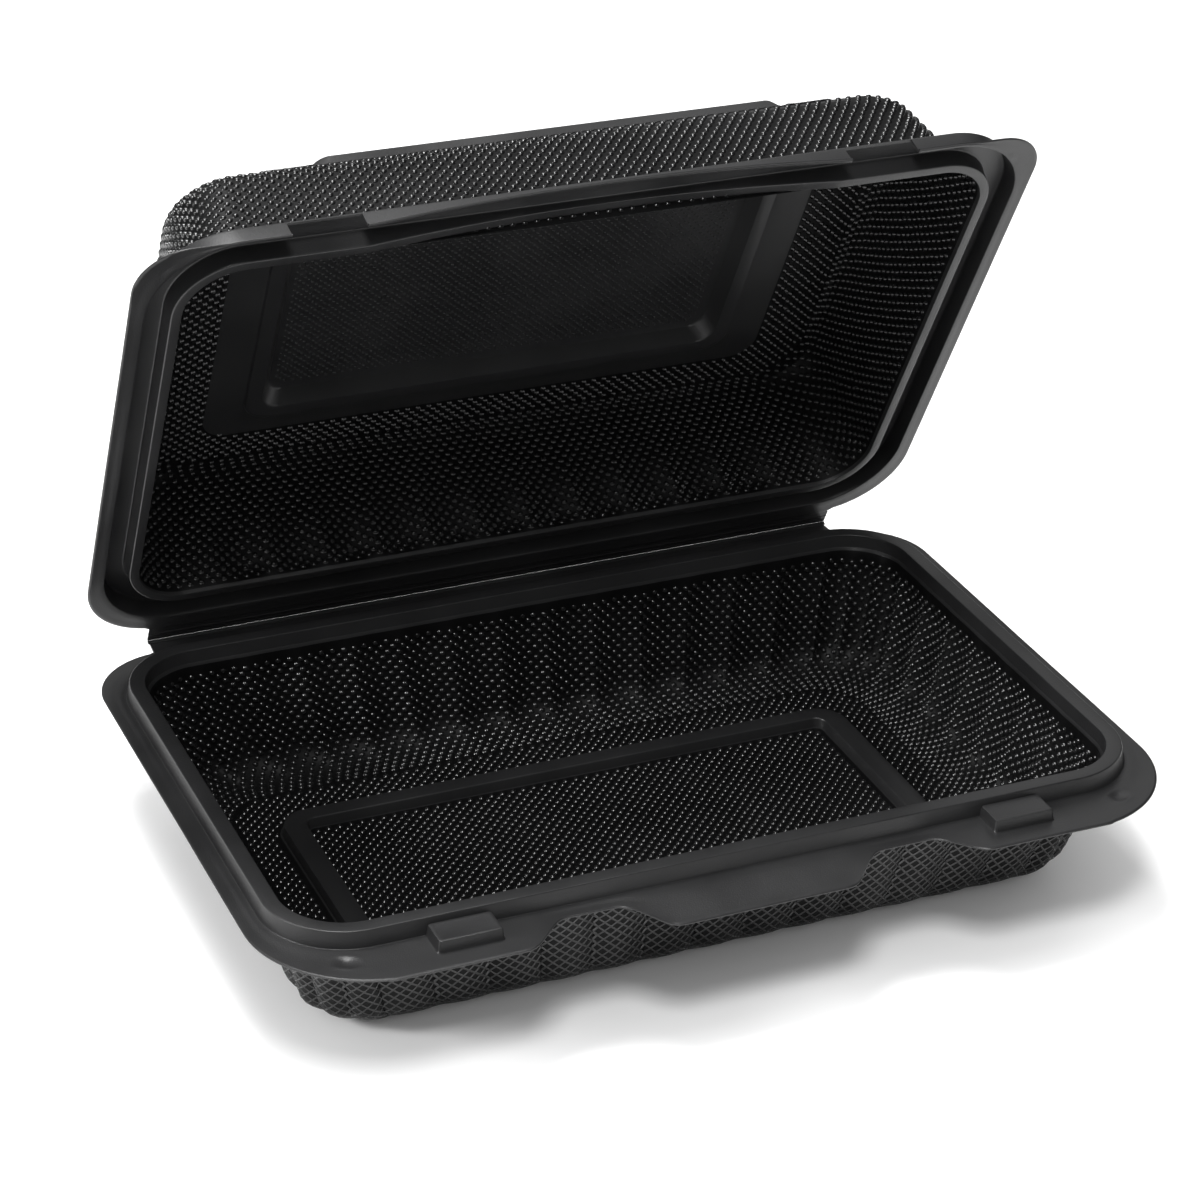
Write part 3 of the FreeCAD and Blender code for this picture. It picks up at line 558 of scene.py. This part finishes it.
def make_object(name, verts, faces, smooth_angle, groove_shade_faces=None):
    """Object from faces of any size. Faces in the groove shade mask get the groove material, whose
    darker colour is painted shade between the beads.
    """
    mesh = bpy.data.meshes.new(name)
    mesh.from_pydata((verts * MM).tolist(), [], [tuple(int(v) for v in f) for f in faces])
    mesh.materials.append(SHEET_MAT)
    if groove_shade_faces is not None:
        mesh.materials.append(GROOVE_SHADE_MAT)
        mesh.polygons.foreach_set("material_index", groove_shade_faces.astype(np.int32))
    mesh.validate()
    mesh.update()
    bm = bmesh.new()
    bm.from_mesh(mesh)
    loose = [v for v in bm.verts if not v.link_faces]
    bmesh.ops.delete(bm, geom=loose, context="VERTS")
    bmesh.ops.recalc_face_normals(bm, faces=bm.faces)
    bm.to_mesh(mesh)
    bm.free()
    for poly in mesh.polygons:
        poly.use_smooth = True
    mesh.set_sharp_from_angle(angle=math.radians(smooth_angle))
    return linked(name, mesh)


# beads
def bead_shape(centres, normals, along, scale):
    """Low six-sided domes on a surface, longer along the rows."""
    across = unit(np.cross(normals, along))
    along = np.cross(across, normals)
    levels = ((1.0, -BEAD_SINK), (BEAD_WAIST, BEAD_WAIST_HIGH))
    size = 2 * BEAD_SIDES + 1
    verts = np.zeros((len(centres), size, 3))
    for row, (share, rise) in enumerate(levels):
        for k in range(BEAD_SIDES):
            a = 2 * math.pi * (k + 0.5 * row) / BEAD_SIDES
            reach = along * BEAD_LONG * math.cos(a) + across * BEAD_WIDE * math.sin(a)
            verts[:, row * BEAD_SIDES + k] = centres + (reach * share + normals * rise) * scale
    verts[:, size - 1] = centres + normals * BEAD_HIGH * scale
    base = (np.arange(len(centres)) * size)[:, None]
    faces = []
    for k in range(BEAD_SIDES):
        n = (k + 1) % BEAD_SIDES
        for tri in ((k, n, BEAD_SIDES + k), (n, BEAD_SIDES + n, BEAD_SIDES + k),
                    (BEAD_SIDES + k, BEAD_SIDES + n, size - 1)):
            faces.append(base + np.array([tri]))
    return verts.reshape(-1, 3), np.concatenate(faces)


def lattice(grid, side, first):
    """Rows of points, normals and ways up and along on a band of rings.

    Every second row is moved half a step. The first row lies the share first of a
    step up the band.
    """
    mid = grid[len(grid) // 2]
    step = np.linalg.norm(np.roll(mid, -1, 0) - mid, axis=1)
    place = np.concatenate([[0], np.cumsum(step)])
    climb = np.concatenate([[0], np.cumsum(np.linalg.norm(np.diff(grid, axis=0), axis=2).mean(1))])
    cell = BEAD_PITCH * math.sqrt(2)
    number = int(round(place[-1] / cell))
    cell_s = place[-1] / number
    normal = grid_normals(grid) * side
    rows = []
    for row, level in enumerate(np.arange(cell * first, climb[-1] - cell * 0.2, cell / 2)):
        j = min(int(np.searchsorted(climb, level) - 1), len(grid) - 2)
        f = (level - climb[j]) / (climb[j + 1] - climb[j])
        line = grid[j] * (1 - f) + grid[j + 1] * f
        line_n = normal[j] * (1 - f) + normal[j + 1] * f
        s = (np.arange(number) + 0.5 * (row % 2)) * cell_s % place[-1]
        i = np.minimum(np.searchsorted(place, s, side="right") - 1, COUNT - 1)
        g = ((s - place[i]) / step[i])[:, None]
        n = (i + 1) % COUNT
        up = (grid[j + 1] - grid[j])[i]
        flat = line[n] - line[i]
        normals = unit(line_n[i] * (1 - g) + line_n[n] * g)
        rows.append((line[i] * (1 - g) + line[n] * g, normals, unit(up), unit(flat)))
    return rows


def unit(v):
    return v / np.maximum(np.linalg.norm(v, axis=-1, keepdims=True), TINY)


def wall_beads(grid, side, lean, first=FIRST_ROW):
    """Centres, normals and long ways of beads on a band of rings, in rows that lean one way."""
    rows = lattice(grid, side, first)
    centres, normals, ups, flats = (np.concatenate(part) for part in zip(*rows))
    return centres, normals, flats * lean + ups


def net_ridges(grid, side):
    """Thin ridges between neighbouring points of the lattice, as on the sheet's back."""
    rows = lattice(grid, side, FIRST_NET_ROW)
    verts, faces, base = [], [], 0
    for row, (low, top) in enumerate(zip(rows, rows[1:])):
        for turn in (0, 1 if row % 2 else -1):
            a, na = low[0], low[1]
            b, nb = np.roll(top[0], -turn, 0), np.roll(top[1], -turn, 0)
            across = unit(np.cross(na + nb, b - a)) * NET_HALF
            corners = [a + across - na * NET_SINK, a + na * NET_HIGH, a - across - na * NET_SINK,
                       b + across - nb * NET_SINK, b + nb * NET_HIGH, b - across - nb * NET_SINK]
            verts.append(np.stack(corners, 1).reshape(-1, 3))
            k = base + np.arange(len(a))[:, None] * len(corners)
            for tri in ((0, 1, 4), (0, 4, 3), (1, 2, 5), (1, 5, 4)):
                faces.append(k + np.array([tri]))
            base += len(verts[-1])
    return np.concatenate(verts), np.concatenate(faces)


def even_box(halfx, halfy, r):
    return halfy, halfy, halfx, r


def box_gap(xy, front, rear, halfx, r):
    """Signed distance to a rounded outline, below 0 inside."""
    half_y = (front + rear) / 2
    mid = (rear - front) / 2
    q = np.abs(xy - np.array([0, mid])) - np.array([halfx - r, half_y - r])
    return np.hypot(np.maximum(q[:, 0], 0), np.maximum(q[:, 1], 0)) + np.minimum(q.max(1), 0) - r


def floor_beads(level, facing, inside, outside=None, pitch=BEAD_PITCH):
    """Beads on a flat part within one outline and, if given, round a second one."""
    cell = pitch * math.sqrt(2)
    xs = np.arange(-FLOOR_REACH_X, FLOOR_REACH_X, cell)
    ys = np.arange(-FLOOR_REACH_Y, FLOOR_REACH_Y, cell)
    gx, gy = np.meshgrid(xs, ys)
    xy = np.concatenate([np.column_stack([gx.ravel(), gy.ravel()]),
                         np.column_stack([gx.ravel() + cell / 2, gy.ravel() + cell / 2])])
    xy = xy[box_gap(xy, *inside) < 0]
    if outside:
        xy = xy[box_gap(xy, *outside) > 0]
    centres = np.column_stack([xy, np.full(len(xy), level)])
    normals = np.tile([0.0, 0.0, facing], (len(xy), 1))
    along = np.tile([1.0, 1.0, 0.0], (len(xy), 1))
    return centres, normals, along


def bead_object(name, groups, body, mat, turn=False, scale=1.0):
    """One object of many beads, each moved a little within the surface."""
    rng = np.random.default_rng(SEED)
    centres, normals, along = (np.concatenate(part) for part in zip(*groups))
    centres = centres + rng.normal(0, BEAD_SHIFT, centres.shape) * (1 - np.abs(normals))
    verts, faces = bead_shape(centres, normals, along, scale)
    array_object(name, opened(verts) if turn else verts, faces, body, mat)


def array_object(name, verts, faces, body, mat):
    """Object from triangles."""
    mesh = bpy.data.meshes.new(name)
    mesh.vertices.add(len(verts))
    mesh.vertices.foreach_set("co", (verts * MM).ravel())
    mesh.loops.add(faces.size)
    mesh.loops.foreach_set("vertex_index", faces.ravel().astype(np.int32))
    mesh.polygons.add(len(faces))
    mesh.polygons.foreach_set("loop_start", np.arange(0, faces.size, 3, dtype=np.int32))
    mesh.polygons.foreach_set("use_smooth", np.ones(len(faces), bool))
    mesh.update(calc_edges=True)
    mesh.validate()
    mesh.materials.append(mat)
    dress(linked(name, mesh), body)


def dress(obj, body):
    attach(obj, body)


# materials
CLOUD_SCALE, GRAIN_SCALE, GRAIN_HIGH = 38.0, 2600.0, 0.00012
CLOUD_DARK, CLOUD_LIGHT = 0.82, 1.18
PLASTIC_IOR = 1.49


def plastic(name, colour, rough, rough_swing, grain, shine):
    """Black plastic with cloudy colour and roughness and a fine grain."""
    mat = bpy.data.materials.new(name)
    mat.use_nodes = True
    nodes, links = mat.node_tree.nodes, mat.node_tree.links
    shader = nodes["Principled BSDF"]
    coords = nodes.new("ShaderNodeTexCoord")
    cloud = nodes.new("ShaderNodeTexNoise")
    cloud.inputs["Scale"].default_value = CLOUD_SCALE
    cloud.inputs["Detail"].default_value = 5.0
    links.new(coords.outputs["Object"], cloud.inputs["Vector"])
    tone = nodes.new("ShaderNodeValToRGB")
    ends = zip(tone.color_ramp.elements, (0.3, 0.75), (CLOUD_DARK, CLOUD_LIGHT))
    for end, place, gain in ends:
        end.position = place
        end.color = [c * gain for c in colour] + [1]
    links.new(cloud.outputs["Fac"], tone.inputs["Fac"])
    links.new(tone.outputs["Color"], shader.inputs["Base Color"])
    spread = nodes.new("ShaderNodeMapRange")
    spread.inputs["From Min"].default_value = 0.3
    spread.inputs["From Max"].default_value = 0.7
    spread.inputs["To Min"].default_value = rough - rough_swing
    spread.inputs["To Max"].default_value = rough + rough_swing
    links.new(cloud.outputs["Fac"], spread.inputs["Value"])
    links.new(spread.outputs["Result"], shader.inputs["Roughness"])
    fine = nodes.new("ShaderNodeTexNoise")
    fine.inputs["Scale"].default_value = GRAIN_SCALE
    fine.inputs["Detail"].default_value = 3.0
    links.new(coords.outputs["Object"], fine.inputs["Vector"])
    bump = nodes.new("ShaderNodeBump")
    bump.inputs["Strength"].default_value = grain
    bump.inputs["Distance"].default_value = GRAIN_HIGH
    links.new(fine.outputs["Fac"], bump.inputs["Height"])
    links.new(bump.outputs["Normal"], shader.inputs["Normal"])
    shader.inputs["IOR"].default_value = PLASTIC_IOR
    shader.inputs["Specular IOR Level"].default_value = shine
    return mat


# colour, roughness, its swing, strength of the grain, shine
SHEET_MAT = plastic("black_sheet", (0.013, 0.013, 0.0135), 0.38, 0.08, 0.35, 0.5)
# Beads and stipple use darker copies of the sheet's black plastic: their lower colour is painted
# shade, their gloss is real.
BEAD_MAT = plastic("black_beads", (0.006, 0.006, 0.0063), 0.23, 0.05, 0.15, 0.75)
STIPPLE_MAT = plastic("black_stipple", (0.004, 0.004, 0.0042), 0.38, 0.05, 0.15, 0.35)
# The skin between the beads is darker still: painted shade in the grooves between the beads.
GROOVE_SHADE_MAT = plastic("black_groove_painted_shade", (0.003, 0.003, 0.0032), 0.45, 0.05, 0.35, 0.15)


# build
def build_tray():
    grid, wall, strip = tray_rings()
    verts, faces = sheet_mesh(grid, 1, np.ones((len(grid) - 1, COUNT), bool))
    mid = face_middles(verts, faces)
    flat = mid[:, :2]
    panel = box_gap(flat, *even_box(PANEL_X - GROOVE_SPACE, PANEL_Y - GROOVE_SPACE, PANEL_R)) < 0
    floor = box_gap(flat, *even_box(RING_X + 0.9, RING_Y + 0.9, RING_R)) > 0
    low = mid[:, 2] < FLUTE_TOP - 0.3
    near = box_gap(flat, *even_box(WALL_X + 11.5, WALL_Y + 11.5, WALL_R + 3)) < 0
    # Beaded floor and wall faces get the groove material: painted shade between the beads.
    obj = make_object("tray_shell", verts, faces, 40, (panel | floor) & low & near)
    dress(obj, "tray")
    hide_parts("base_tray")
    return grid[wall:strip - 1]


def window_cells(grid, lip):
    """Cells of the lid, from the lip out, that the two latch windows leave open."""
    hole = np.zeros((len(grid) - 1, COUNT), bool)
    for j in range(lip, len(grid) - 1):
        centre = (grid[j] + grid[j + 1]) / 2
        x = (centre[:, 0] + np.roll(centre[:, 0], -1)) / 2
        across = np.abs(np.abs(x) - LATCH_X) < WINDOW_LENGTH / 2
        hole[j] = across & (centre[:, 1] < -RIM_Y - 0.2) & (centre[:, 2] < WINDOW_TOP)
    return hole


def build_lid():
    grid, wall, lip = lid_rings()
    verts, faces = sheet_mesh(grid, -1, ~window_cells(grid, lip))
    mid = face_middles(verts, faces)
    flat = mid[:, :2]
    outside = box_gap(flat, *LID_MARGIN) > 0
    inner = box_gap(flat, *even_box(LIP_X + GROOVE_SPACE, LIP_Y + GROOVE_SPACE, LID_WALL_R)) < 0
    steep = box_gap(flat, POCKET_FRONT + 1.5, MARGIN_REAR, MARGIN_X, FRAME_R) > 0
    # Beaded wall and top faces get the groove material: painted shade between the beads.
    groove_shade_faces = (mid[:, 2] > LID_LOW + 1.2) & inner & steep & (outside | (mid[:, 2] < LID_TOP - 1.5))
    obj = make_object("lid_shell", opened(verts), faces, 40, groove_shade_faces)
    dress(obj, "lid")
    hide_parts("lid")
    return grid[wall + 1:lip]


def tray_beads(band):
    """Beads on the tray's inside and the net on the outside of its wall."""
    inner = even_box(PANEL_X - FRAME_SPACE, PANEL_Y - FRAME_SPACE, PANEL_R)
    outer = even_box(RING_X + FRAME_SPACE, RING_Y + FRAME_SPACE, RING_R + 1)
    floor = even_box(WALL_X - 9.0, WALL_Y - 9.0, WALL_R - 3.0)
    groups = [wall_beads(band, -1, 1.0), floor_beads(SHEET, 1.0, inner),
              floor_beads(SHEET, 1.0, floor, outer)]
    bead_object("tray_beads_inside", groups, "tray", BEAD_MAT)
    under = band[2:] + grid_normals(band)[2:] * SHEET
    array_object("tray_net_outside", *net_ridges(under, 1), "tray", BEAD_MAT)


def lid_beads(band):
    """Beads on both sides of the lid and the fine stipple of its panel."""
    under = LID_TOP - SHEET
    zone = even_box(LIP_X - 10.0, LIP_Y - 10.0, LID_WALL_R)
    groups = [wall_beads(band, 1, -1.0, FIRST_LID_ROW), floor_beads(under, -1.0, zone, LID_MARGIN)]
    bead_object("lid_beads_inside", groups, "lid", BEAD_MAT, True)
    panel = (POCKET_FRONT - 2.4, POCKET_REAR - 2.0, POCKET_X - 2, POCKET_R)
    stipple = floor_beads(under + POCKET_HIGH, -1.0, panel, pitch=STIPPLE_PITCH)
    bead_object("lid_panel_stipple", [stipple], "lid", STIPPLE_MAT, True, STIPPLE_SCALE)
    over = band - grid_normals(band) * SHEET
    plateau = (POCKET_FRONT - 1.5, POCKET_REAR - 1.0, POCKET_X - 1, POCKET_R)
    round_frame = (POCKET_FRONT + 2, FRAME_Y + 1.0, FRAME_X + 1.0, FRAME_R)
    groups = [wall_beads(over, -1, -1.0), floor_beads(LID_TOP, 1.0, zone, round_frame),
              floor_beads(LID_TOP + POCKET_HIGH, 1.0, plateau)]
    bead_object("lid_beads_outside", groups, "lid", BEAD_MAT, True)


def bar_mesh(profile):
    """Straight bar along the whole hinge with the given closed (y, z) profile."""
    n = len(profile)
    verts = [(x, y, z) for x in (-HINGE_HALF, HINGE_HALF) for y, z in profile]
    faces = [(k, (k + 1) % n, n + (k + 1) % n, n + k) for k in range(n)]
    faces += [tuple(range(n))[::-1], tuple(range(n, 2 * n))]
    return np.array(verts, float), faces


def round_bar(y, z, r, sides=10):
    """Round bar along the whole hinge."""
    turns = [2 * math.pi * k / sides for k in range(sides)]
    return bar_mesh([(y + r * math.cos(a), z + r * math.sin(a)) for a in turns])


def joined(parts):
    verts, faces, base = [], [], 0
    for part_verts, part_faces in parts:
        faces += [tuple(base + v for v in f) for f in part_faces]
        verts.append(part_verts)
        base += len(part_verts)
    return np.concatenate(verts), faces


def add_part(name, parts, body, turn=False):
    verts, faces = joined(parts)
    dress(make_object(name, opened(verts) if turn else verts, faces, 35), body)


def hinge_parts():
    """Crease line of the tray and the thin ribbed film of the lid."""
    crease = round_bar(HINGE_Y - HINGE_GAP - HINGE_BEAD_R, FLANGE_TOP - 0.05, HINGE_BEAD_R)
    web = round_bar(HINGE_Y, HINGE_Z, WEB_R)
    add_part("tray_hinge_crease", [crease, web], "tray")
    low = FLANGE_TOP + LID_GAP + 0.15
    y0, y1 = STRIP_FRONT - 0.5, HINGE_Y - HINGE_GAP
    film = bar_mesh([(y0, low), (y1, low), (y1, low + FILM), (y0, low + FILM)])
    beads = [round_bar(STRIP_FRONT + dy, low + FILM / 2, HINGE_BEAD_R) for dy in (1.6, 3.2)]
    add_part("lid_hinge_film", [film] + beads, "lid", True)


def latch_block(sign):
    """Latch block with softened corners, a little narrower at the top."""
    half, deep = LATCH_LENGTH / 2, (LATCH_FRONT - LATCH_BACK) / 2
    levels = [(FLANGE_TOP - 0.2, 0.35), (FLANGE_TOP + 0.12, 0.12), (FLANGE_TOP + 0.5, 0.0),
              (LATCH_TOP - 0.45, -0.25), (LATCH_TOP - 0.12, -0.36), (LATCH_TOP, -0.7),
              (LATCH_TOP - 0.1, -1.3)]
    verts, faces = [], []
    for z, grow in levels:
        for px, py in block_outline(half + grow, deep + grow * 0.9, 0.7):
            verts.append((sign * LATCH_X + px, -(LATCH_FRONT + LATCH_BACK) / 2 + py, z))
    n = len(verts) // len(levels)
    for row in range(len(levels) - 1):
        for k in range(n):
            m = (k + 1) % n
            faces.append((row * n + k, row * n + m, (row + 1) * n + m, (row + 1) * n + k))
    faces.append(tuple(range(n))[::-1])
    faces.append(tuple((len(levels) - 1) * n + k for k in range(n)))
    return np.array(verts), faces


def block_outline(hx, hy, r, steps=4):
    """Points of a small rounded rectangle about its middle."""
    pts = []
    for cx, cy, start in ((1, -1, -90), (1, 1, 0), (-1, 1, 90), (-1, -1, 180)):
        for k in range(steps + 1):
            a = math.radians(start + 90 * k / steps)
            pts.append((cx * (hx - r) + r * math.cos(a), cy * (hy - r) + r * math.sin(a)))
    return pts


tray_band = build_tray()
lid_band = build_lid()
tray_beads(tray_band)
lid_beads(lid_band)
hinge_parts()
add_part("tray_latches", [latch_block(1), latch_block(-1)], "tray")


# stage, light and camera, in metres
IMAGE = 1200
FOCAL_PIXELS = 3424.87
EYE = Vector((-0.30481, -0.67910, 0.46093))
LOOK = Vector((0.35589, 0.80954, -0.46688))
UP = Vector((0.16672, 0.43658, 0.88408))
AIM = Vector((0, 0, 0.05))
WORLD_SOFT, WORLD_SEEN_IN_GLOSS = 0.80, 0.03


def add_floor():
    bpy.ops.mesh.primitive_plane_add(size=6.0, location=(0, 0, -0.0002))
    obj = bpy.context.object
    obj.name = "floor"
    mat = bpy.data.materials.new("floor")
    mat.use_nodes = True
    shader = mat.node_tree.nodes["Principled BSDF"]
    shader.inputs["Base Color"].default_value = (0.9, 0.9, 0.9, 1)
    shader.inputs["Roughness"].default_value = 0.7
    obj.data.materials.append(mat)


def add_world():
    """White to the camera, soft on matt surfaces and dim in reflections."""
    world = bpy.data.worlds.new("studio")
    bpy.context.scene.world = world
    world.use_nodes = True
    nodes, links = world.node_tree.nodes, world.node_tree.links
    soft = nodes["Background"]
    soft.inputs["Strength"].default_value = WORLD_SOFT
    dim = nodes.new("ShaderNodeBackground")
    dim.inputs["Strength"].default_value = WORLD_SEEN_IN_GLOSS
    seen = nodes.new("ShaderNodeBackground")
    for node in (soft, dim, seen):
        node.inputs["Color"].default_value = (1, 1, 1, 1)
    path = nodes.new("ShaderNodeLightPath")
    gloss = nodes.new("ShaderNodeMixShader")
    links.new(path.outputs["Is Glossy Ray"], gloss.inputs["Fac"])
    links.new(soft.outputs["Background"], gloss.inputs[1])
    links.new(dim.outputs["Background"], gloss.inputs[2])
    mix = nodes.new("ShaderNodeMixShader")
    links.new(path.outputs["Is Camera Ray"], mix.inputs["Fac"])
    links.new(gloss.outputs["Shader"], mix.inputs[1])
    links.new(seen.outputs["Background"], mix.inputs[2])
    links.new(mix.outputs["Shader"], nodes["World Output"].inputs["Surface"])


def add_area(name, place, size, power, aim=AIM):
    data = bpy.data.lights.new(name, "AREA")
    data.shape = "RECTANGLE"
    data.size, data.size_y = size
    data.energy = power
    obj = linked(name, data)
    obj.location = place
    obj.rotation_euler = (aim - Vector(place)).to_track_quat("-Z", "Y").to_euler()


def add_camera():
    data = bpy.data.cameras.new("view")
    data.sensor_fit = "HORIZONTAL"
    data.sensor_width = 36.0
    data.lens = FOCAL_PIXELS * data.sensor_width / IMAGE
    data.clip_start = 0.01
    data.clip_end = 50.0
    obj = linked("view", data)
    right = LOOK.cross(UP).normalized()
    up = right.cross(LOOK).normalized()
    turn = Matrix((right, up, -LOOK.normalized())).transposed()
    obj.matrix_world = Matrix.Translation(EYE) @ turn.to_4x4()
    bpy.context.scene.camera = obj


add_floor()
add_world()
add_area("top", (-0.10, 0.30, 1.2), (0.42, 0.42), 12.0)
add_area("rear", (0.3, 1.3, 1.0), (1.8, 1.0), 3.5)
add_area("front", (-0.30, -0.55, 1.25), (0.34, 0.34), 9.0)
add_area("side", (-1.15, 0.02, 0.62), (0.30, 0.30), 11.0, Vector((0, 0.02, 0.05)))
add_camera()
bpy.context.scene.view_settings.view_transform = "Standard"
